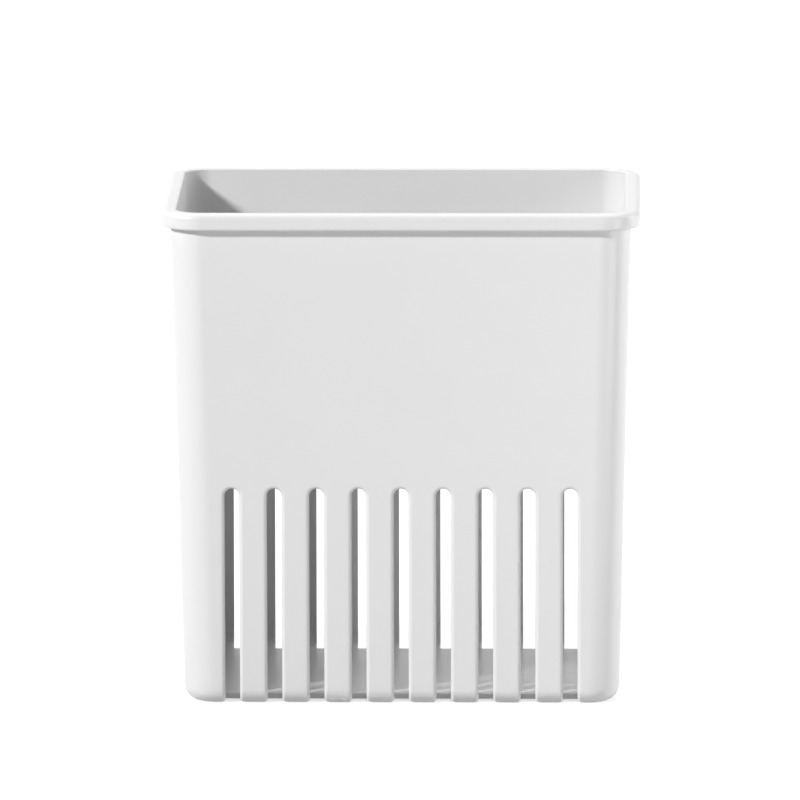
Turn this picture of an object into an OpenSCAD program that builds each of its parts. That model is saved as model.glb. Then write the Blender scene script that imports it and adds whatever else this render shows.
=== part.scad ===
// Open chopstick holder: a moulded basket with a turned-down lip and rows of
// draining slots, and a lift-out divider that stands in guides inside it.
// Millimetres. The origin is at the middle of the footprint, on the table.
// The front faces -Y and +Z is up.

/* [Basket] */
// Height from the table to the top of the lip
basket_h = 150; // [120:1:200]
// Width across the front walls' outer faces, at the height of the lip's top
body_w = 138.2; // [132:0.2:180]
// Depth from the front wall's to the back wall's outer face, at the same height
body_d = 92; // [50:0.5:120]
// Lean of each wall in degrees, so that the basket leaves its mould
draft = 1.4; // [0.5:0.1:2.5]
// Thickness of the walls
wall = 1.8; // [1.2:0.1:2.6]
// Thickness of the floor
floor_t = 1.6; // [1.2:0.1:3]
// Outer radius of the upright corners
corner_r = 9.5; // [6:0.5:11]
// Outer radius of the edge round the bottom
bottom_r = 4.5; // [4:0.5:6]
// Height that the floor's underside is raised by, inside the foot
foot_h = 0.6; // [0.4:0.1:1]
// Width of the flat ring that the basket stands on
foot_w = 1.2; // [0.6:0.1:3]

/* [Lip] */
// How far the lip stands out from the walls
lip_out = 2.7; // [2.4:0.1:6]
// Height of the lip's outer face
lip_h = 5; // [4:0.1:10]
// Thickness of the lip's turned-down skirt
lip_t = 1.5; // [1:0.1:2]
// Thickness of the lip's top
lip_roof = 1.8; // [1.2:0.1:2.5]
// Radius of the lip's upper outer edge
lip_edge_r = 1.8; // [0.5:0.1:2]
// Radius of the lip's lower outer edge
lip_low_r = 0.8; // [0.3:0.1:0.8]
// Radius of the inner edge of the mouth
mouth_r = 0.5; // [0.3:0.1:1]

/* [Slots] */
// Number of slots in the front wall, and again in the back wall
slot_count = 9; // [5:2:9]
// Distance between the middles of neighbouring slots
slot_pitch = 12.7; // [10.5:0.1:12.9]
// Width of a slot
slot_w = 4.4; // [2.5:0.1:4.8]
// Height of the slots' tops above the table
slot_top = 66; // [30:1:100]
// How far a slot reaches in under the floor from the foot of its wall
slot_under = 6.2; // [5:0.1:12]
// Radius of the rounded outer edges of a slot
slot_edge_r = 1.2; // [0.4:0.1:1.4]

/* [Divider] */
// Number of slots that lie to the left of the divider
slots_left = 3; // [2:1:4]
// Thickness of the divider
divider_t = 1.6; // [1.2:0.1:2]
// Height of the divider's top edge above the table
divider_top = 132; // [100:1:134]
// Height of the bead that stiffens the divider's top edge
bead_h = 4; // [2:0.5:6]
// Thickness of the bead
bead_t = 2.8; // [2.2:0.1:4]
// Radius of the finger scoop in the top edge
scoop_r = 24; // [14:1:32]
// Depth of the finger scoop
scoop_depth = 10; // [4:1:12]

/* [Guides] */
// Width of a guide rib
rib_w = 1.4; // [1:0.1:1.8]
// How far a guide rib stands in from its wall
rib_out = 2.2; // [1.5:0.1:4]
// Height of the guide ribs' tops above the table
rib_top = 116; // [60:1:118]
// Clearance between the divider and what guides it
fit = 0.3; // [0.2:0.05:0.4]

/* [Hidden] */

// Steps in a quarter of a round corner and in the small edge roundings, and
// round the whole circle of the scoop
corner_steps = 8;
edge_steps = 4;
slot_steps = 5;
slot_edge_steps = 2;
scoop_steps = 64;
// Margin by which a cut runs past the faces that it cuts
over = 0.5;

lean = tan(draft);
floor_top = foot_h + floor_t;
lip_z = basket_h - lip_h;
foot_line_d = body_d - 2 * basket_h * lean;
divider_x = (slots_left - slot_count / 2) * slot_pitch;

// A quarter of a circle as steps of [sine, cosine], from [0, 1] to [1, 0]
function quarter(steps) = [for (i = [0:steps]) [sin(90 * i / steps), cos(90 * i / steps)]];

// The walls' outline at height z, out beyond their faces by the given amount
function wall_ring(out, z) =
    let (
        drop = (basket_h - z) * lean,
        half_w = body_w / 2 - drop + out,
        half_d = body_d / 2 - drop + out,
        r = corner_r + out
    )
    [
        for (corner = [0:3])
            let (
                sx = (corner == 0 || corner == 3) ? 1 : -1,
                sy = corner < 2 ? 1 : -1
            )
            for (i = [0:corner_steps])
                let (a = 90 * (corner + i / corner_steps))
                [sx * (half_w - r) + r * cos(a), sy * (half_d - r) + r * sin(a), z]
    ];

// The mouth's outline, out by the given amount, moved straight down to height z
function lip_ring(out, z) = [for (p = wall_ring(out, basket_h)) [p[0], p[1], z]];

// Joins outlines that have the same number of points into one solid
module loft(rings) {
    n = len(rings[0]);
    last = len(rings) - 1;
    polyhedron(
        points = [for (outline = rings) for (p = outline) p],
        faces = concat(
            [[for (i = [0:n - 1]) i]],
            [
                for (k = [0:last - 1])
                    for (i = [0:n - 1])
                        let (j = (i + 1) % n)
                        [k * n + i, (k + 1) * n + i, (k + 1) * n + j, k * n + j]
            ],
            [[for (i = [n - 1:-1:0]) last * n + i]]
        ),
        convexity = 4
    );
}

// Outside of the body, from its rounded bottom edge up into the lip
module body_block() {
    loft(concat(
        [
            for (q = quarter(edge_steps))
                wall_ring(-bottom_r * (1 - q[0]), bottom_r * (1 - q[1]))
        ],
        [wall_ring(0, basket_h - lip_roof / 2)]
    ));
}

// Inside of the basket, open at the top, with a small radius round the mouth
module cavity() {
    inner_r = bottom_r - wall;
    loft(concat(
        [
            for (q = quarter(edge_steps))
                wall_ring(-wall - inner_r * (1 - q[0]), floor_top + inner_r * (1 - q[1]))
        ],
        [
            for (q = quarter(edge_steps))
                wall_ring(-wall + mouth_r * (1 - q[1]), basket_h - mouth_r * (1 - q[0]))
        ],
        [lip_ring(-wall + mouth_r, basket_h + over)]
    ));
}

// Lip as a full block, rounded along its outer edges
module lip_block() {
    loft(concat(
        [
            for (q = quarter(edge_steps))
                lip_ring(lip_out - lip_low_r * (1 - q[0]), lip_z + lip_low_r * (1 - q[1]))
        ],
        [
            for (q = quarter(edge_steps))
                lip_ring(lip_out - lip_edge_r * (1 - q[1]), basket_h - lip_edge_r * (1 - q[0]))
        ]
    ));
}

// Space inside the lip's skirt, which the body's walls then pass up through
module lip_hollow() {
    loft([
        lip_ring(lip_out - lip_t, lip_z - over),
        lip_ring(lip_out - lip_t, basket_h - lip_roof)
    ]);
}

// Shallow hollow under the floor, inside the ring that the basket stands on
module foot_hollow() {
    inset = bottom_r + foot_w;
    loft([wall_ring(-inset, -over), wall_ring(-inset, foot_h)]);
}

// Stations along the outside of the front wall, from under the floor, round the
// bottom edge and up to where the slot's round top begins. Each is [y, z, angle],
// and the outward direction there is [-cos(angle), -sin(angle)].
function slot_path() =
    let (
        arc_y = bottom_r * (1 - sin(draft)) / cos(draft),
        top_z = slot_top - (slot_w / 2) * cos(draft)
    )
    concat(
        [[slot_under, 0, 90]],
        [
            for (i = [0:slot_steps])
                let (a = 90 + (draft - 90) * i / slot_steps)
                [arc_y - bottom_r * cos(a), bottom_r - bottom_r * sin(a), a]
        ],
        [[-top_z * lean, top_z, draft]]
    );

// Half outline of a slot that is wider than slot_w by twice the grow value, at
// the given depth under the wall's outer face. Each point is [half width, y, z].
function slot_side(grow, depth) =
    let (
        path = slot_path(),
        top = path[len(path) - 1],
        r = slot_w / 2 + grow
    )
    concat(
        [
            for (s = path)
                [r, s[0] + depth * cos(s[2]), s[1] + depth * sin(s[2])]
        ],
        [
            for (i = [1:slot_steps])
                let (
                    a = 90 * i / (slot_steps + 0.5),
                    up = r * sin(a)
                )
                [
                    r * cos(a),
                    top[0] - up * sin(draft) + depth * cos(draft),
                    top[1] + up * cos(draft) + depth * sin(draft)
                ]
        ]
    );

// One slot's cut in the front wall: a round-topped slot that wraps round the
// bottom edge, with its outer edges rounded all the way.
module slot_cut() {
    deep = floor_top + over;
    flare = over / 2;
    levels = concat(
        [slot_side(slot_edge_r + flare / tan(45 / slot_edge_steps), -flare)],
        [
            for (i = [1:slot_edge_steps])
                let (q = quarter(slot_edge_steps)[i])
                slot_side(slot_edge_r * (1 - q[0]), slot_edge_r * (1 - q[1]))
        ],
        [slot_side(0, deep)]
    );
    rows = len(levels[0]);
    n = 2 * rows;
    last = len(levels) - 1;
    polyhedron(
        points = [
            for (side = levels)
                for (i = [0:n - 1])
                    let (
                        p = i < rows ? side[i] : side[n - 1 - i],
                        mirror_x = i < rows ? -1 : 1
                    )
                    [mirror_x * p[0], p[1], p[2]]
        ],
        faces = concat(
            [for (i = [0:rows - 2]) [i, i + 1, n - 2 - i, n - 1 - i]],
            [
                for (k = [0:last - 1])
                    for (i = [0:n - 1])
                        let (j = (i + 1) % n)
                        [k * n + i, (k + 1) * n + i, (k + 1) * n + j, k * n + j]
            ],
            [
                for (i = [0:rows - 2])
                    let (b = last * n)
                    [b + n - 1 - i, b + n - 2 - i, b + i + 1, b + i]
            ]
        ),
        convexity = 4
    );
}

// The row of slots in the front wall
module slot_row() {
    for (i = [0:slot_count - 1])
        translate([(i - (slot_count - 1) / 2) * slot_pitch, -foot_line_d / 2, 0])
            slot_cut();
}

// A pair of ribs on the front wall that hold one edge of the divider
module guide_pair() {
    gap = divider_t / 2 + fit;
    length = (rib_top - floor_top) / cos(draft);
    for (side = [0, 1])
        translate([divider_x, -foot_line_d / 2 - floor_top * lean, floor_top])
            mirror([side, 0, 0])
                rotate([draft, 0, 0])
                    translate([gap, wall / 2, -floor_t / 2])
                        cube([rib_w, wall / 2 + rib_out, length + floor_t / 2]);
}

module basket() {
    color("white") {
        difference() {
            union() {
                difference() {
                    lip_block();
                    lip_hollow();
                }
                body_block();
            }
            cavity();
            foot_hollow();
            slot_row();
            mirror([0, 1, 0]) slot_row();
        }
        guide_pair();
        mirror([0, 1, 0]) guide_pair();
    }
}

// Half of the inside depth of the basket at height z, less the clearance
function divider_half(z) = foot_line_d / 2 + z * lean - wall / cos(draft) - fit;

// Side view of the divider, as [y, z], with its lower corners rounded
module divider_face() {
    r = bottom_r;
    corner = [
        for (i = [0:edge_steps])
            let (a = 90 * i / edge_steps)
            [divider_half(floor_top + r) - r + r * sin(a), floor_top + r - r * cos(a)]
    ];
    half = concat(corner, [[divider_half(divider_top), divider_top]]);
    n = len(half);
    difference() {
        polygon(concat(half, [for (i = [n - 1:-1:0]) [-half[i][0], half[i][1]]]));
        translate([0, divider_top + scoop_r - scoop_depth]) circle(r = scoop_r, $fn = scoop_steps);
    }
}

// The stiffened band along the divider's top edge and round its scoop
module bead_face() {
    intersection() {
        divider_face();
        union() {
            translate([-body_d, divider_top - bead_h]) square([2 * body_d, bead_h + over]);
            translate([0, divider_top + scoop_r - scoop_depth])
                circle(r = scoop_r + bead_h, $fn = scoop_steps);
        }
    }
}

module divider() {
    color("whitesmoke")
        translate([divider_x, 0, 0])
            rotate([90, 0, 90]) {
                linear_extrude(divider_t, center = true) divider_face();
                linear_extrude(bead_t, center = true) bead_face();
            }
}

basket();
divider();
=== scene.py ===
"""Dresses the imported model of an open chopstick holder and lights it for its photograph.

The holder is one white moulding, a basket on a narrow foot with a turned-down lip and two rows
of draining slots, and a plate that stands in guides inside it and lifts out. Both are rebuilt
here with their small roundings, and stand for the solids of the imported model.

All lengths in the dataclasses are millimetres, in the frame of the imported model: the origin is
in the middle of the foot, the front faces -Y and +Z is up. Meshes are in metres.
"""

import logging
import math
from dataclasses import dataclass, field
from enum import Enum
from typing import Any, Callable, Iterable, Sequence, Union

import bmesh
import bpy
from mathutils import Matrix, Vector


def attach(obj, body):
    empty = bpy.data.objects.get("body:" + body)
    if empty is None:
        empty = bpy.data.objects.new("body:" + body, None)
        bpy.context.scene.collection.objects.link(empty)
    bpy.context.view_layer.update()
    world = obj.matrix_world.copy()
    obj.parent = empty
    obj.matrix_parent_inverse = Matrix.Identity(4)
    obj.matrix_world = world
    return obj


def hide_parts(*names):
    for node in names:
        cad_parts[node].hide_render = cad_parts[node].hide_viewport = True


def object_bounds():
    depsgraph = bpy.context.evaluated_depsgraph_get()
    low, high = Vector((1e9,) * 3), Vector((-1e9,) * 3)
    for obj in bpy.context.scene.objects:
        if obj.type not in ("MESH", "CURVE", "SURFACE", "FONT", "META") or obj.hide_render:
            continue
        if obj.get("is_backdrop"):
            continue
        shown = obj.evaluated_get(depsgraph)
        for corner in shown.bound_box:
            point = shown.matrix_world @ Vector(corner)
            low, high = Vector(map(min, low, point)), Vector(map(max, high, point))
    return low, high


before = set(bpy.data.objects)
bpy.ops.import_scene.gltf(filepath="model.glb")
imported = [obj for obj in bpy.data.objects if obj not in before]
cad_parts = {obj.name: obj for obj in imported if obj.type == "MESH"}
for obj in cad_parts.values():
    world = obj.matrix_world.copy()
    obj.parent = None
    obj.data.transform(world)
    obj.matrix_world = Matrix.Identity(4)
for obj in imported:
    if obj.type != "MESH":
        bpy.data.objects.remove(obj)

LOG = logging.getLogger("chopstick_holder")
MM = 0.001
# Points closer than this, in millimetres, count as one.
CLOSE = 1e-4
# Edges shorter than this, in millimetres, are slivers that a cut left behind.
SLIVER = 0.004


class Body(Enum):
    """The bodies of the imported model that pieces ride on."""

    BASKET = "basket_body"
    DIVIDER = "divider_body"


class Slot(Enum):
    """The record's material slots."""

    BASKET = "basket_plastic"
    DIVIDER = "divider_plastic"


class Side(Enum):
    """The two long walls, as the sign of Y on which each lies."""

    FRONT = -1
    BACK = 1


Operand = Union["Signal", float]


class Signal:
    """A node's output that can be used in Python arithmetic.

    Args:
        graph: The material's graph, which receives the Math nodes.
        socket: The output that this signal stands for.
    """

    def __init__(self, graph: "Graph", socket: bpy.types.NodeSocket) -> None:
        """Keeps the graph and the socket."""
        self.graph = graph
        self.socket = socket

    def _with(self, operation: str, *others: Operand, swap: bool = False) -> "Signal":
        """Adds one Math node.

        Args:
            operation: The Math node's operation.
            *others: The other operands.
            swap: Whether this signal is the last operand, as in 1 - mask.

        Returns:
            The node's output as a signal.
        """
        operands: list[Operand] = [self, *others]
        if swap:
            operands.reverse()
        return self.graph.node(
            "ShaderNodeMath", {"operation": operation}, dict(enumerate(operands))
        )

    def __add__(self, other: Operand) -> "Signal":
        """Sum."""
        return self._with("ADD", other)

    def __radd__(self, other: Operand) -> "Signal":
        """Reflected sum."""
        return self._with("ADD", other, swap=True)

    def __sub__(self, other: Operand) -> "Signal":
        """Difference."""
        return self._with("SUBTRACT", other)

    def __rsub__(self, other: Operand) -> "Signal":
        """Reflected difference."""
        return self._with("SUBTRACT", other, swap=True)

    def __mul__(self, other: Operand) -> "Signal":
        """Product."""
        return self._with("MULTIPLY", other)

    def __rmul__(self, other: Operand) -> "Signal":
        """Reflected product."""
        return self._with("MULTIPLY", other, swap=True)

    def ramp(self, low: float, high: float) -> "Signal":
        """Smooth step from 0 at low to 1 at high.

        Args:
            low: The value at which the step starts.
            high: The value at which it has reached 1.

        Returns:
            The step as a signal between 0 and 1.
        """
        return self.graph.node(
            "ShaderNodeMapRange",
            {"interpolation_type": "SMOOTHSTEP", "clamp": True},
            {"Value": self, "From Min": low, "From Max": high, "To Min": 0.0, "To Max": 1.0},
            output="Result",
        )


class Graph:
    """A node tree, of a material or of the world."""

    def __init__(self, tree: bpy.types.NodeTree, output: str) -> None:
        """Empties the tree and gives it its output.

        Args:
            tree: The node tree.
            output: The type of its output node.
        """
        self.tree = tree
        self.tree.nodes.clear()
        self.output = self.tree.nodes.new(output)

    def node(
        self,
        kind: str,
        settings: dict[str, Any],
        inputs: dict[Union[str, int], Any],
        output: Union[str, int] = 0,
    ) -> Signal:
        """Adds any node.

        Args:
            kind: The node's type.
            settings: The node's own settings, which are set first.
            inputs: A value or a signal for each input, by name or by number.
            output: The output that is wanted, by name or by number.

        Returns:
            The wanted output as a signal.
        """
        made = self.tree.nodes.new(kind)
        for name, value in settings.items():
            setattr(made, name, value)
        for key, value in inputs.items():
            if isinstance(value, Signal):
                self.tree.links.new(value.socket, made.inputs[key])
            else:
                made.inputs[key].default_value = value
        return Signal(self, made.outputs[output])

    def seen(self) -> Signal:
        """1 where the camera or a reflection looks, and 0 where a lamp's light falls."""
        rays = [
            self.node("ShaderNodeLightPath", {}, {}, output=ray)
            for ray in ("Is Camera Ray", "Is Glossy Ray", "Is Transmission Ray")
        ]
        return rays[0] + rays[1] + rays[2]

    def show(self, value: Signal) -> None:
        """Makes a shader what the output shows."""
        self.tree.links.new(value.socket, self.output.inputs["Surface"])


class Finish(Graph):
    """A material's node tree, with its Principled shader."""

    def __init__(self, name: str) -> None:
        """Makes an empty material.

        Args:
            name: The material's name.
        """
        self.material = bpy.data.materials.new(name)
        self.material.use_nodes = True
        super().__init__(self.material.node_tree, "ShaderNodeOutputMaterial")
        self.shader = self.tree.nodes.new("ShaderNodeBsdfPrincipled")
        self.show(Signal(self, self.shader.outputs["BSDF"]))

    def feed(self, name: str, value: Signal) -> None:
        """Links a signal to one of the shader's inputs."""
        self.tree.links.new(value.socket, self.shader.inputs[name])

    def fix(self, **values: Any) -> None:
        """Sets constants on the shader's own sockets, with _ for a space in a name."""
        for name, value in values.items():
            self.shader.inputs[name.replace("_", " ")].default_value = value

    def place(self, scale: Sequence[float] = (1.0, 1.0, 1.0)) -> Signal:
        """Object coordinates, stretched by a scale for each axis."""
        at = self.node("ShaderNodeTexCoord", {}, {}, output="Object")
        return self.node("ShaderNodeMapping", {}, {"Vector": at, "Scale": tuple(scale)})

    def blend(self, factor: Operand, a: Sequence[float], b: Sequence[float]) -> Signal:
        """Mixes two colours, each plain or a signal.

        Args:
            factor: How much of the second shows, from 0 to 1.
            a: The first colour.
            b: The second colour.

        Returns:
            The mixed colour.
        """
        plain = {"A": a, "B": b}
        colours = {k: v if isinstance(v, Signal) else (*v, 1.0) for k, v in plain.items()}
        return self.node(
            "ShaderNodeMix",
            {"data_type": "RGBA"},
            {"Factor": factor, **colours},
            output="Result",
        )

    def noise(self, at: Signal, scale: float, detail: float = 2.0, rough: float = 0.5) -> Signal:
        """Noise between about 0 and 1.

        Args:
            at: The coordinates.
            scale: How often the pattern repeats in a metre, about.
            detail: How many finer layers are added.
            rough: How strong the finer layers are.

        Returns:
            The noise's value.
        """
        return self.node(
            "ShaderNodeTexNoise",
            {},
            {"Vector": at, "Scale": scale, "Detail": detail, "Roughness": rough},
        )


@dataclass(frozen=True)
class MouldedPlastic:
    """Satin white plastic as it comes out of a polished mould, lightly used.

    Attributes:
        name: The material's name.
        tint: The plastic's colour.
        drained: The colour of the faint film where water drains away.
        roughness: Roughness of the clean surface.
        film_top: Height in millimetres up to which the film reaches.
        film_low: Share of that height up to which the film is full.
        film_rough: How much rougher the film is.
        clouds: How much of the plastic's slightly darker tone shows, at most.
        cloud_tone: That tone's brightness beside the plain tint.
        drawn_rough: How much the marks of drawing the part off its core change the roughness.
        relief: Strength of the bump.
        relief_m: Depth of the bump in metres.
    """

    name: str
    tint: tuple[float, float, float]
    drained: tuple[float, float, float]
    roughness: float
    film_top: float
    film_low: float = 0.15
    film_rough: float = 0.12
    clouds: float = 0.35
    cloud_tone: float = 0.972
    drawn_rough: float = 0.07
    relief: float = 0.06
    relief_m: float = 0.0004

    def build(self) -> bpy.types.Material:
        """Makes the material.

        Returns:
            The material, with its colour, roughness and bump from nodes.
        """
        g = Finish(self.name)
        at = g.place()
        film = self._film(g, at)
        grain = g.noise(at, 2600.0)
        drawn = g.noise(g.place((1.0, 1.0, 0.06)), 900.0, 2.0, 0.6)
        ripple = g.noise(at, 60.0, 1.0)
        cloud = g.noise(at, 34.0, 3.0).ramp(0.3, 0.7) * self.clouds
        darker = tuple(c * self.cloud_tone for c in self.tint)
        base = g.blend(cloud, self.tint, darker)
        g.feed("Base Color", g.blend(film * 0.5, base, self.drained))
        uneven = film * self.film_rough + (drawn - 0.5) * self.drawn_rough
        g.feed("Roughness", self.roughness + uneven)
        height = {
            "Height": grain * 0.5 + drawn * 0.5 + ripple * 2.0,
            "Strength": self.relief,
            "Distance": self.relief_m,
        }
        g.feed("Normal", g.node("ShaderNodeBump", {}, height))
        g.fix(IOR=1.49, Coat_Weight=0.12, Coat_Roughness=0.22, Specular_IOR_Level=0.5)
        return g.material

    def _film(self, g: Finish, at: Signal) -> Signal:
        """Where the film of drained water lies.

        Args:
            g: The material's graph.
            at: The coordinates.

        Returns:
            The film's strength, from 0 to 1.
        """
        height = g.node("ShaderNodeSeparateXYZ", {}, {"Vector": at}, output="Z")
        top = self.film_top * MM
        low = 1.0 - height.ramp(self.film_low * top, top)
        return low * g.noise(at, 150.0, 4.0, 0.62).ramp(0.42, 0.78)


@dataclass(frozen=True)
class StudioFloor:
    """Pale floor that shows white and keeps the holder's shadow.

    Attributes:
        shade: The floor's own colour.
        speck: How much darker its specks are.
        lift: Strength near the holder of the white that only the camera and reflections see.
        far_lift: What is added to that strength farther out, where the lamps reach less.
        near_m: Distance in metres at which the addition starts.
        far_m: Distance in metres from which it is full.
        half: Half of the floor's side in millimetres.
    """

    shade: float = 0.54
    speck: float = 0.99
    lift: float = 0.66
    far_lift: float = 0.25
    near_m: float = 0.15
    far_m: float = 0.7
    half: float = 12000.0

    def build(self) -> bpy.types.Object:
        """Lays the floor.

        Returns:
            The floor.
        """
        shape = Shape()
        bmesh.ops.create_grid(shape.bm, x_segments=4, y_segments=4, size=self.half)
        ground = shape.finish("studio_floor")
        ground.data.materials.append(self._finish())
        ground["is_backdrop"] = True
        return ground

    def _finish(self) -> bpy.types.Material:
        """Makes the floor's material."""
        g = Finish("studio_floor")
        at = g.place()
        tone = (self.shade,) * 3
        darker = tuple(c * self.speck for c in tone)
        g.feed("Base Color", g.blend(g.noise(at, 9.0), tone, darker))
        g.fix(Roughness=0.9, Specular_IOR_Level=0.1)
        away = g.node("ShaderNodeVectorMath", {"operation": "LENGTH"}, {0: at}, output="Value")
        lift = self.lift + away.ramp(self.near_m, self.far_m) * self.far_lift
        glow = g.node(
            "ShaderNodeEmission", {}, {"Color": (1.0, 1.0, 1.0, 1.0), "Strength": g.seen() * lift}
        )
        lit = Signal(g, g.shader.outputs["BSDF"])
        g.show(g.node("ShaderNodeAddShader", {}, {0: lit, 1: glow}))
        return g.material


class Shape:
    """A mesh in the making, in millimetres, shaped with bmesh operators."""

    def __init__(self) -> None:
        """Starts empty."""
        self.bm = bmesh.new()

    def polyline(self, points: Iterable[Sequence[float]]) -> list[bmesh.types.BMEdge]:
        """Adds a chain of edges, such as a section to spin or to sweep.

        Args:
            points: The chain's points.

        Returns:
            The chain's edges in order.
        """
        verts = [self.bm.verts.new(p) for p in points]
        return [self.bm.edges.new(pair) for pair in zip(verts, verts[1:])]

    def block(self, low: Sequence[float], high: Sequence[float]) -> list[bmesh.types.BMVert]:
        """Adds a box.

        Args:
            low: The lowest corner.
            high: The highest corner.

        Returns:
            The box's vertices.
        """
        size = Vector(high) - Vector(low)
        middle = (Vector(high) + Vector(low)) / 2
        matrix = Matrix.Translation(middle) @ Matrix.Diagonal((*size, 1.0))
        return bmesh.ops.create_cube(self.bm, size=1.0, matrix=matrix)["verts"]

    def round_edges(
        self, edges: Iterable[bmesh.types.BMEdge], radius: float, segments: int
    ) -> None:
        """Rounds edges.

        Args:
            edges: The edges to round.
            radius: The radius of the rounding.
            segments: How many faces make up the rounding.
        """
        bmesh.ops.bevel(
            self.bm,
            geom=list(edges),
            offset=radius,
            offset_type="OFFSET",
            segments=segments,
            profile=0.5,
            affect="EDGES",
            clamp_overlap=True,
            material=-1,
        )

    def edges_where(
        self, test: Callable[[Vector, Vector], bool]
    ) -> list[bmesh.types.BMEdge]:
        """The edges whose two ends pass a test."""
        return [e for e in self.bm.edges if test(e.verts[0].co, e.verts[1].co)]

    def draw_out(
        self, edges: Sequence[bmesh.types.BMEdge], axis: int, to: float
    ) -> list[bmesh.types.BMEdge]:
        """Extrudes edges until they lie at one coordinate.

        Args:
            edges: The edges to extrude.
            axis: 0 for X, 1 for Y or 2 for Z.
            to: The coordinate that the new edges are moved to.

        Returns:
            The new edges.
        """
        made = bmesh.ops.extrude_edge_only(self.bm, edges=list(edges))["geom"]
        for vert in (g for g in made if isinstance(g, bmesh.types.BMVert)):
            vert.co[axis] = to
        return [g for g in made if isinstance(g, bmesh.types.BMEdge)]

    def merge(self, distance: float = CLOSE) -> None:
        """Merges vertices that lie on each other, and points all faces outwards."""
        bmesh.ops.remove_doubles(self.bm, verts=self.bm.verts, dist=distance)
        bmesh.ops.dissolve_degenerate(self.bm, edges=self.bm.edges, dist=distance)
        bmesh.ops.recalc_face_normals(self.bm, faces=self.bm.faces)

    def mirrored(self, axis: str) -> None:
        """Adds this shape's own mirror image and merges the two where they meet."""
        bmesh.ops.mirror(
            self.bm,
            geom=self.bm.verts[:] + self.bm.edges[:] + self.bm.faces[:],
            matrix=Matrix.Identity(4),
            merge_dist=CLOSE,
            axis=axis,
        )
        self.merge()

    def finish(self, name: str) -> bpy.types.Object:
        """Turns the shape into an object in metres.

        Args:
            name: The object's name.

        Returns:
            The object, at the origin and linked to the scene.
        """
        bmesh.ops.scale(self.bm, vec=(MM, MM, MM), verts=self.bm.verts)
        mesh = bpy.data.meshes.new(name)
        self.bm.to_mesh(mesh)
        self.bm.free()
        made = bpy.data.objects.new(name, mesh)
        bpy.context.scene.collection.objects.link(made)
        return made


class Joiner:
    """Joins solids and cuts them from each other, and tidies what comes out."""

    @staticmethod
    def combine(base: bpy.types.Object, tool: bpy.types.Object, operation: str) -> None:
        """Applies one Boolean operation to an object, and removes the tool.

        Args:
            base: The object that changes.
            tool: The object that is added or cut away.
            operation: UNION, DIFFERENCE or INTERSECT.
        """
        cut = base.modifiers.new("cut", "BOOLEAN")
        cut.operation = operation
        cut.object = tool
        cut.solver = "EXACT"
        Joiner.apply(base)
        bpy.data.objects.remove(tool)

    @staticmethod
    def apply(piece: bpy.types.Object) -> None:
        """Makes what the modifiers show the object's own mesh."""
        graph = bpy.context.evaluated_depsgraph_get()
        mesh = bpy.data.meshes.new_from_object(
            piece.evaluated_get(graph), preserve_all_data_layers=True, depsgraph=graph
        )
        piece.modifiers.clear()
        old, piece.data = piece.data, mesh
        bpy.data.meshes.remove(old)
        mesh.name = piece.name

    @staticmethod
    def tidy(piece: bpy.types.Object) -> None:
        """Merges the slivers that a cut leaves behind."""
        bm = bmesh.new()
        bm.from_mesh(piece.data)
        bmesh.ops.remove_doubles(bm, verts=bm.verts, dist=SLIVER * MM)
        bmesh.ops.dissolve_degenerate(bm, edges=bm.edges, dist=SLIVER * MM)
        bm.to_mesh(piece.data)
        bm.free()

    @staticmethod
    def smooth(piece: bpy.types.Object, sharp_deg: float = 40.0) -> None:
        """Shades a piece smoothly, with flat faces flat and real corners sharp.

        Args:
            piece: The piece to shade.
            sharp_deg: The angle above which an edge stays sharp.
        """
        piece.data.shade_smooth()
        piece.data.set_sharp_from_angle(angle=math.radians(sharp_deg))
        weighted = piece.modifiers.new("flat_faces", "WEIGHTED_NORMAL")
        weighted.mode = "FACE_AREA"
        weighted.weight = 50
        weighted.keep_sharp = True
        Joiner.apply(piece)


def corner_points(
    path: Sequence[tuple[float, float, float]], steps: int
) -> list[tuple[float, float]]:
    """Rounds the corners of a section that is given by its sharp corners.

    Args:
        path: Corners as (x, z, radius), in order.
        steps: How many faces make up each rounding.

    Returns:
        The section's points, with an arc at each corner that has a radius.
    """
    points: list[tuple[float, float]] = []
    for i, (x, z, radius) in enumerate(path):
        here = Vector((x, z))
        if radius <= 0 or i in (0, len(path) - 1):
            points.append((x, z))
            continue
        back = (Vector(path[i - 1][:2]) - here).normalized()
        on = (Vector(path[i + 1][:2]) - here).normalized()
        half = back.angle(on) / 2
        reach = radius / math.tan(half)
        centre = here + (back + on).normalized() * (radius / math.sin(half))
        first = here + back * reach - centre
        turn = first.angle_signed(here + on * reach - centre)
        for k in range(steps + 1):
            spoke = first.copy()
            spoke.rotate(Matrix.Rotation(-turn * k / steps, 2))
            points.append(tuple(centre + spoke))
    return points



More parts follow.
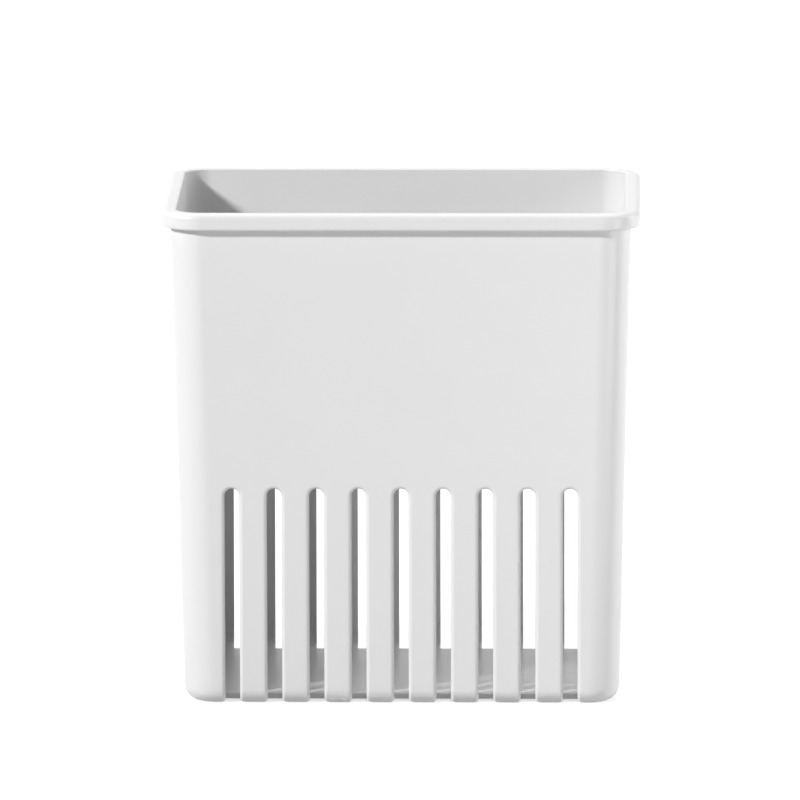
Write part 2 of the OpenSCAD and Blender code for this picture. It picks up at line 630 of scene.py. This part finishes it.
@dataclass(frozen=True)
class Walls:
    """Sizes of the basket's walls, floor and foot.

    Attributes:
        height: Height to the top of the lip.
        width: Width across the outer faces at that height.
        depth: Depth across the outer faces at that height.
        draft_deg: Lean of each wall.
        thickness: Thickness of the walls.
        floor: Thickness of the floor.
        corner_r: Outer radius of the upright corners.
        bottom_r: Outer radius of the edge round the bottom.
        foot_h: Height of the hollow inside the foot.
        foot_w: Width of the ring that the basket stands on.
        foot_root_r: Radius in the inner corner of that ring.
        foot_edge_r: Radius of its inner edge.
    """

    height: float = 150.0
    width: float = 138.2
    depth: float = 92.0
    draft_deg: float = 1.4
    thickness: float = 1.8
    floor: float = 1.6
    corner_r: float = 9.5
    bottom_r: float = 4.5
    foot_h: float = 0.6
    foot_w: float = 1.2
    foot_root_r: float = 0.3
    foot_edge_r: float = 0.2

    @property
    def lean(self) -> float:
        """How far a wall moves out in each millimetre of height."""
        return math.tan(math.radians(self.draft_deg))

    @property
    def floor_top(self) -> float:
        """Height of the floor inside."""
        return self.foot_h + self.floor

    @property
    def foot_depth(self) -> float:
        """Depth across the walls' outer faces, carried down to the table."""
        return self.depth - 2 * self.height * self.lean


@dataclass(frozen=True)
class Lip:
    """Sizes of the turned-down lip.

    Attributes:
        out: How far it stands out from the walls.
        height: Height of its outer face.
        skirt: Thickness of the turned-down part.
        roof: Thickness of its top.
        edge_r: Radius of its upper outer edge.
        low_r: Radius of its lower outer edge.
        mouth_r: Radius of the inner edge of the mouth.
        inner_r: Radius of the skirt's lower inner edge.
        wall_root_r: Radius in the corner between its roof and the wall.
        skirt_root_r: Radius in the corner between its roof and the skirt.
    """

    out: float = 2.7
    height: float = 5.0
    skirt: float = 1.5
    roof: float = 1.8
    edge_r: float = 1.8
    low_r: float = 0.8
    mouth_r: float = 0.5
    inner_r: float = 0.4
    wall_root_r: float = 0.5
    skirt_root_r: float = 0.4


@dataclass(frozen=True)
class Slots:
    """Sizes of the rows of draining slots.

    Attributes:
        count: Number of slots in each long wall.
        pitch: Distance between the middles of neighbouring slots.
        width: Width of a slot.
        top: Height of the slots' tops.
        under: How far a slot reaches in under the floor.
        edge_r: Radius of the rounded outer edges.
        deep: How deep the cut goes under the outer face.
        proud: How far the cut stands out from that face.
        flare: How much wider the cut is there than its rounded edge.
    """

    count: int = 9
    pitch: float = 12.7
    width: float = 4.4
    top: float = 66.0
    under: float = 6.2
    edge_r: float = 1.2
    deep: float = 2.7
    proud: float = 0.3
    flare: float = 0.05


@dataclass(frozen=True)
class Guides:
    """Sizes of the ribs that hold the divider.

    Attributes:
        width: Width of a rib.
        out: How far a rib stands in from its wall.
        top: Height of the ribs' tops.
        gap: Clearance between the divider and a rib.
        edge_r: Radius of a rib's top edge.
        edge_steps: How many faces make up that radius.
    """

    width: float = 1.4
    out: float = 2.2
    top: float = 116.0
    gap: float = 0.3
    edge_r: float = 0.35
    edge_steps: int = 3


@dataclass
class Basket:
    """The moulded basket: walls, floor, foot, lip, slots and guides in one piece."""

    walls: Walls = field(default_factory=Walls)
    lip: Lip = field(default_factory=Lip)
    slots: Slots = field(default_factory=Slots)
    guides: Guides = field(default_factory=Guides)
    divider_x: float = -19.05
    divider_t: float = 1.6
    corner_steps: int = 20
    round_steps: int = 8

    def section(self) -> list[tuple[float, float]]:
        """Section through wall, lip and floor, from the middle of the underside inwards.

        Returns:
            Points as (distance out from the wall's outer face, height).
        """
        w, lip = self.walls, self.lip
        inside = w.bottom_r + w.foot_w
        under = w.height - lip.roof
        path = [
            (-w.corner_r, w.foot_h, 0.0),
            (-inside, w.foot_h, w.foot_root_r),
            (-inside, 0.0, w.foot_edge_r),
            (0.0, 0.0, w.bottom_r),
            (0.0, under, lip.wall_root_r),
            (lip.out - lip.skirt, under, lip.skirt_root_r),
            (lip.out - lip.skirt, w.height - lip.height, lip.inner_r),
            (lip.out, w.height - lip.height, lip.low_r),
            (lip.out, w.height, lip.edge_r),
            (-w.thickness, w.height, lip.mouth_r),
            (-w.thickness, w.floor_top, w.bottom_r - w.thickness),
            (-w.corner_r, w.floor_top, 0.0),
        ]
        return corner_points(path, self.round_steps)

    def shell(self) -> bpy.types.Object:
        """Spins the section round one corner, draws it out to the middle and mirrors it.

        Returns:
            The basket without slots and guides.
        """
        w = self.walls
        shape = Shape()
        cx = w.width / 2 - w.corner_r
        cy = w.depth / 2 - w.corner_r
        chain = shape.polyline((cx + w.corner_r + out, cy, z) for out, z in self.section())
        verts = {v for e in chain for v in e.verts}
        bmesh.ops.spin(
            shape.bm,
            geom=[*verts, *chain],
            cent=(cx, cy, 0.0),
            axis=(0.0, 0.0, 1.0),
            angle=math.pi / 2,
            steps=self.corner_steps,
            use_merge=False,
            use_duplicate=False,
        )
        bmesh.ops.remove_doubles(shape.bm, verts=shape.bm.verts, dist=CLOSE)
        for axis, level in ((1, cy), (0, cx)):
            ends = shape.edges_where(
                lambda a, b: abs(a[axis] - level) < CLOSE
                and abs(b[axis] - level) < CLOSE
                and min(a[1 - axis], b[1 - axis]) > (cx, cy)[1 - axis] - CLOSE
            )
            shape.draw_out(ends, axis, 0.0)
        self._lean(shape)
        shape.mirrored("X")
        shape.mirrored("Y")
        holes = [e for e in shape.bm.edges if e.is_boundary]
        bmesh.ops.holes_fill(shape.bm, edges=holes, sides=0)
        shape.merge()
        return shape.finish("basket")

    def _lean(self, shape: Shape) -> None:
        """Leans the walls of a quarter of the basket, whose middles lie at X 0 and Y 0."""
        for vert in shape.bm.verts:
            drop = (self.walls.height - vert.co.z) * self.walls.lean
            for axis in (0, 1):
                if vert.co[axis] > CLOSE:
                    vert.co[axis] -= drop

    def _slot_section(self) -> list[tuple[float, float]]:
        """Half section of a slot's cut, wider towards the outside by its rounded edge.

        Returns:
            Points as (half width, depth under the wall's outer face).
        """
        s = self.slots
        half, r = s.width / 2, s.edge_r
        points = [(0.0, -s.proud), (half + r + s.flare, -s.proud)]
        for k in range(self.round_steps + 1):
            a = math.pi / 2 * k / self.round_steps
            points.append((half + r * (1 - math.sin(a)), r * (1 - math.cos(a))))
        return [*points, (half, s.deep), (0.0, s.deep)]

    def slot_cutter(self, side: Side) -> bpy.types.Object:
        """Sweeps the cuts of one row of slots.

        The section starts under the floor, goes round the bottom edge, up the leaning wall,
        and turns half round at the slot's top.

        Args:
            side: The wall that the row is in.

        Returns:
            The row of cuts as one object.
        """
        shape = Shape()
        w, s = self.walls, self.slots
        draft = math.radians(w.draft_deg)
        wall_y = -w.foot_depth / 2
        arc_y = w.bottom_r * (1 - math.sin(draft)) / math.cos(draft)
        axis_at = Vector((0.0, wall_y + arc_y, w.bottom_r))
        start_y = wall_y + s.under
        chain = shape.polyline((x, start_y, depth) for x, depth in self._slot_section())
        ends = bmesh.ops.extrude_edge_only(shape.bm, edges=chain)["geom"]
        verts = [g for g in ends if isinstance(g, bmesh.types.BMVert)]
        edges = [g for g in ends if isinstance(g, bmesh.types.BMEdge)]
        for vert in verts:
            vert.co.y = axis_at.y
        spun = bmesh.ops.spin(
            shape.bm,
            geom=[*verts, *edges],
            cent=axis_at,
            axis=(1.0, 0.0, 0.0),
            angle=-(math.pi / 2 - draft),
            steps=self.round_steps,
            use_merge=False,
            use_duplicate=False,
        )["geom_last"]
        up = Vector((0.0, -math.sin(draft), math.cos(draft)))
        top_z = s.top - (s.width / 2) * math.cos(draft)
        foot_z = w.bottom_r - w.bottom_r * math.sin(draft)
        rise = up * ((top_z - foot_z) / math.cos(draft))
        raised = bmesh.ops.extrude_edge_only(
            shape.bm, edges=[g for g in spun if isinstance(g, bmesh.types.BMEdge)]
        )["geom"]
        verts = [g for g in raised if isinstance(g, bmesh.types.BMVert)]
        edges = [g for g in raised if isinstance(g, bmesh.types.BMEdge)]
        bmesh.ops.translate(shape.bm, vec=rise, verts=verts)
        top = Vector((0.0, wall_y - top_z * w.lean, top_z))
        outward = Vector((0.0, -math.cos(draft), -math.sin(draft)))
        bmesh.ops.spin(
            shape.bm,
            geom=[*verts, *edges],
            cent=top,
            axis=outward,
            angle=math.pi / 2,
            steps=self.round_steps,
            use_merge=False,
            use_duplicate=False,
        )
        bmesh.ops.remove_doubles(shape.bm, verts=shape.bm.verts, dist=CLOSE)
        shape.mirrored("X")
        holes = [e for e in shape.bm.edges if e.is_boundary]
        bmesh.ops.holes_fill(shape.bm, edges=holes, sides=0)
        shape.merge()
        self._repeat(shape)
        if side is Side.BACK:
            bmesh.ops.rotate(
                shape.bm,
                verts=shape.bm.verts,
                cent=(0.0, 0.0, 0.0),
                matrix=Matrix.Rotation(math.pi, 3, "Z"),
            )
        return shape.finish(f"slot_row_{side.name.lower()}")

    def _repeat(self, shape: Shape) -> None:
        """Copies one cut along the row, centred on X 0."""
        s = self.slots
        first = shape.bm.verts[:] + shape.bm.edges[:] + shape.bm.faces[:]
        start = -(s.count - 1) / 2 * s.pitch
        for i in range(1, s.count):
            copied = bmesh.ops.duplicate(shape.bm, geom=first)["geom"]
            bmesh.ops.translate(
                shape.bm,
                vec=(start + i * s.pitch, 0.0, 0.0),
                verts=[g for g in copied if isinstance(g, bmesh.types.BMVert)],
            )
        bmesh.ops.translate(
            shape.bm,
            vec=(start, 0.0, 0.0),
            verts=[g for g in first if isinstance(g, bmesh.types.BMVert)],
        )

    def guide_ribs(self) -> bpy.types.Object:
        """Makes the four ribs, each sunk into its wall and the floor.

        Returns:
            The ribs as one object.
        """
        shape = Shape()
        w, g = self.walls, self.guides
        near = self.divider_t / 2 + g.gap
        face_y = w.foot_depth / 2 - w.thickness
        for x_sign in (-1, 1):
            low_x, high_x = sorted((x_sign * near, x_sign * (near + g.width)))
            verts = shape.block(
                (self.divider_x + low_x, face_y - g.out, w.floor_top - w.floor / 2),
                (self.divider_x + high_x, face_y + w.thickness / 2, g.top),
            )
            inner = {
                e
                for v in verts
                for e in v.link_edges
                if all(abs(end.co.y - (face_y - g.out)) < CLOSE for end in e.verts)
                and max(end.co.z for end in e.verts) > g.top - CLOSE
            }
            shape.round_edges(inner, g.edge_r, g.edge_steps)
        for vert in shape.bm.verts:
            vert.co.y += vert.co.z * w.lean
        shape.mirrored("Y")
        return shape.finish("guide_ribs")

    def build(self, plastic: bpy.types.Material) -> bpy.types.Object:
        """Builds and dresses the basket.

        Args:
            plastic: Its material.

        Returns:
            The finished piece.
        """
        piece = self.shell()
        Joiner.combine(piece, self.guide_ribs(), "UNION")
        for side in Side:
            Joiner.combine(piece, self.slot_cutter(side), "DIFFERENCE")
        Joiner.tidy(piece)
        Joiner.smooth(piece)
        piece.data.materials.clear()
        piece.data.materials.append(plastic)
        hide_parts("basket")
        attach(piece, Body.BASKET.value)
        return piece



@dataclass
class Divider:
    """The plate that stands in the guides and lifts out.

    Attributes:
        walls: The basket's walls, between which it stands.
        guides: The guides, whose clearance it takes.
        x: Where it stands.
        thickness: Thickness of the plate.
        top: Height of its top edge.
        bead_h: Height of the thicker band along the top edge.
        bead_t: Thickness of that band.
        scoop_r: Radius of the finger scoop.
        scoop_depth: Depth of the finger scoop.
        edge_r: Radius of its edges.
        edge_steps: How many faces make up that radius.
        edge_deg: The angle above which an edge is rounded.
        round_steps: How many faces make up a lower corner.
        disc_steps: How many faces the scoop's full circle has.
        over: How far the bars and blocks that cut it reach past it.
    """

    walls: Walls = field(default_factory=Walls)
    guides: Guides = field(default_factory=Guides)
    x: float = -19.05
    thickness: float = 1.6
    top: float = 132.0
    bead_h: float = 4.0
    bead_t: float = 2.8
    scoop_r: float = 24.0
    scoop_depth: float = 10.0
    edge_r: float = 0.25
    edge_steps: int = 3
    edge_deg: float = 50.0
    round_steps: int = 8
    disc_steps: int = 96
    over: float = 4.0

    def _half_depth(self, z: float) -> float:
        """Half of the plate's depth at a height."""
        w = self.walls
        clear = w.thickness / math.cos(math.radians(w.draft_deg)) + self.guides.gap
        return w.foot_depth / 2 + z * w.lean - clear

    def _plate(self, thickness: float, name: str) -> bpy.types.Object:
        """Makes the plate without its scoop, in one thickness.

        Args:
            thickness: The plate's thickness.
            name: The object's name.

        Returns:
            The plate, with its lower corners rounded.
        """
        shape = Shape()
        low, high = self.walls.floor_top, self.top
        half = self._half_depth(low)
        shape.block(
            (self.x - thickness / 2, -half, low), (self.x + thickness / 2, half, high)
        )
        for vert in shape.bm.verts:
            if vert.co.z > high - CLOSE:
                vert.co.y = math.copysign(self._half_depth(high), vert.co.y)
        corners = shape.edges_where(
            lambda a, b: max(a.z, b.z) < low + CLOSE and abs(a.y - b.y) < CLOSE
        )
        shape.round_edges(corners, self.walls.bottom_r, self.round_steps)
        shape.merge()
        return shape.finish(name)

    def _disc(self, radius: float, name: str) -> bpy.types.Object:
        """Makes a round bar across the plate, about the scoop's axis.

        Args:
            radius: The bar's radius.
            name: The object's name.

        Returns:
            The bar.
        """
        shape = Shape()
        centre = Vector((self.x, 0.0, self.top + self.scoop_r - self.scoop_depth))
        bmesh.ops.create_cone(
            shape.bm,
            cap_ends=True,
            segments=self.disc_steps,
            radius1=radius,
            radius2=radius,
            depth=self.bead_t + 2 * self.over,
            matrix=Matrix.Translation(centre) @ Matrix.Rotation(math.pi / 2, 4, "Y"),
        )
        return shape.finish(name)

    def _band(self) -> bpy.types.Object:
        """Makes the block that the thicker band fills along the top edge."""
        shape = Shape()
        out, along = self.bead_t / 2 + self.over, self.walls.depth
        shape.block(
            (self.x - out, -along, self.top - self.bead_h),
            (self.x + out, along, self.top + self.over),
        )
        return shape.finish("bead_band")

    def build(self, plastic: bpy.types.Material) -> bpy.types.Object:
        """Builds and dresses the divider.

        Args:
            plastic: Its material.

        Returns:
            The finished piece.
        """
        piece = self._plate(self.thickness, "divider")
        bead = self._plate(self.bead_t, "divider_bead")
        band = self._band()
        Joiner.combine(band, self._disc(self.scoop_r + self.bead_h, "bead_disc"), "UNION")
        Joiner.combine(bead, band, "INTERSECT")
        Joiner.combine(piece, bead, "UNION")
        Joiner.combine(piece, self._disc(self.scoop_r, "scoop_disc"), "DIFFERENCE")
        Joiner.tidy(piece)
        rounded = piece.modifiers.new("edges", "BEVEL")
        rounded.width = self.edge_r * MM
        rounded.segments = self.edge_steps
        rounded.limit_method = "ANGLE"
        rounded.angle_limit = math.radians(self.edge_deg)
        rounded.use_clamp_overlap = True
        Joiner.apply(piece)
        Joiner.tidy(piece)
        Joiner.smooth(piece)
        piece.data.materials.clear()
        piece.data.materials.append(plastic)
        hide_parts("divider")
        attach(piece, Body.DIVIDER.value)
        return piece



@dataclass(frozen=True)
class SoftBox:
    """A soft lamp.

    Attributes:
        name: The lamp's name.
        at: Where it hangs, in millimetres.
        toward: The point that it faces, in millimetres.
        width: Its width.
        height: Its height.
        watts: Its power.
    """

    name: str
    at: tuple[float, float, float]
    toward: tuple[float, float, float]
    width: float
    height: float
    watts: float

    def build(self) -> bpy.types.Object:
        """Hangs the lamp."""
        data = bpy.data.lights.new(self.name, "AREA")
        data.shape = "RECTANGLE"
        data.size = self.width * MM
        data.size_y = self.height * MM
        data.energy = self.watts
        lamp = bpy.data.objects.new(self.name, data)
        bpy.context.scene.collection.objects.link(lamp)
        at, toward = Vector(self.at) * MM, Vector(self.toward) * MM
        lamp.location = at
        lamp.rotation_euler = (toward - at).to_track_quat("-Z", "Y").to_euler()
        return lamp


@dataclass(frozen=True)
class Viewpoint:
    """The camera of the photograph.

    Attributes:
        at: Where it stands, in millimetres.
        yaw: Turn to the right of +Y, in radians.
        pitch: Turn down from the horizon, in radians.
        roll: Turn about its own axis, in radians.
        focal_px: Focal length in pixels of the frame.
        frame_px: Width of the frame in pixels.
        sensor: Width of the camera's sensor.
        clip_m: The nearest and the farthest distance that it sees, in metres.
    """

    at: tuple[float, float, float] = (68.769, -3577.580, 692.930)
    yaw: float = -0.0195144
    pitch: float = 0.1680804
    roll: float = -0.0020238
    focal_px: float = 11967.91
    frame_px: float = 800.0
    sensor: float = 36.0
    clip_m: tuple[float, float] = (0.05, 60.0)

    def build(self) -> bpy.types.Object:
        """Makes the camera and gives it to the scene.

        Returns:
            The camera.
        """
        data = bpy.data.cameras.new("camera")
        data.sensor_width = self.sensor
        data.lens = self.focal_px * self.sensor / self.frame_px
        data.clip_start, data.clip_end = self.clip_m
        camera = bpy.data.objects.new("camera", data)
        bpy.context.scene.collection.objects.link(camera)
        ahead = Vector(
            (
                math.sin(self.yaw) * math.cos(self.pitch),
                math.cos(self.yaw) * math.cos(self.pitch),
                -math.sin(self.pitch),
            )
        )
        level = Vector((math.cos(self.yaw), -math.sin(self.yaw), 0.0))
        upright = level.cross(ahead)
        right = level * math.cos(self.roll) + upright * math.sin(self.roll)
        up = upright * math.cos(self.roll) - level * math.sin(self.roll)
        turn = Matrix((right, up, -ahead)).transposed().to_4x4()
        camera.matrix_world = Matrix.Translation(Vector(self.at) * MM) @ turn
        bpy.context.scene.camera = camera
        return camera


@dataclass
class Studio:
    """Floor, world, lamps and camera.

    Attributes:
        floor: The floor.
        viewpoint: The camera.
        world_level: Strength of the pale light from all round.
        lamps: The soft lamps.
    """

    floor: StudioFloor = field(default_factory=StudioFloor)
    viewpoint: Viewpoint = field(default_factory=Viewpoint)
    world_level: float = 0.07
    lamps: tuple[SoftBox, ...] = (
        SoftBox("left_key", (-2670.0, -2160.0, 2130.0), (0.0, 0.0, 80.0), 450.0, 450.0, 145.0),
        SoftBox("overhead", (0.0, 600.0, 1450.0), (0.0, 0.0, 0.0), 1300.0, 900.0, 11.5),
        SoftBox("right_fill", (400.0, -300.0, 110.0), (30.0, 0.0, 80.0), 160.0, 200.0, 0.5),
        SoftBox("right_back", (1100.0, 250.0, 300.0), (0.0, 0.0, 80.0), 400.0, 900.0, 7.0),
    )

    def build(self) -> None:
        """Sets up everything round the holder."""
        bpy.context.scene.view_settings.view_transform = "Standard"
        self._world()
        self.floor.build()
        for lamp in self.lamps:
            lamp.build()
        self.viewpoint.build()

    def _world(self) -> None:
        """Gives the world an even pale light, and pure white where it is seen."""
        world = bpy.data.worlds.new("studio")
        bpy.context.scene.world = world
        world.use_nodes = True
        g = Graph(world.node_tree, "ShaderNodeOutputWorld")
        level = self.world_level + g.seen() * (1.0 - self.world_level)
        white = (1.0, 1.0, 1.0, 1.0)
        g.show(g.node("ShaderNodeBackground", {}, {"Color": white, "Strength": level}))


def corners(box: tuple[Vector, Vector]) -> list[list[float]]:
    """A box's two corners as plain lists of numbers."""
    return [[float(c) for c in corner] for corner in box]


def report(piece: bpy.types.Object) -> None:
    """Logs a piece's size and how many triangles it has."""
    triangles = sum(len(p.vertices) - 2 for p in piece.data.polygons)
    size = ", ".join(f"{d / MM:.1f}" for d in piece.dimensions)
    LOG.info("%s: %s mm, %d triangles", piece.name, size, triangles)


def main() -> None:
    logging.basicConfig(level=logging.INFO, format="%(name)s: %(message)s")
    packed = corners(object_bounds())
    basket_plastic = MouldedPlastic(
        "basket_plastic", (0.80, 0.80, 0.80), (0.775, 0.775, 0.765), 0.36, 22.0
    ).build()
    divider_plastic = MouldedPlastic(
        "divider_plastic", (0.785, 0.785, 0.785), (0.76, 0.76, 0.75), 0.40, 16.0
    ).build()
    for piece in (Basket().build(basket_plastic), Divider().build(divider_plastic)):
        report(piece)
    Studio().build()
    dressed = corners(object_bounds())


if __name__ == "__main__":
    main()
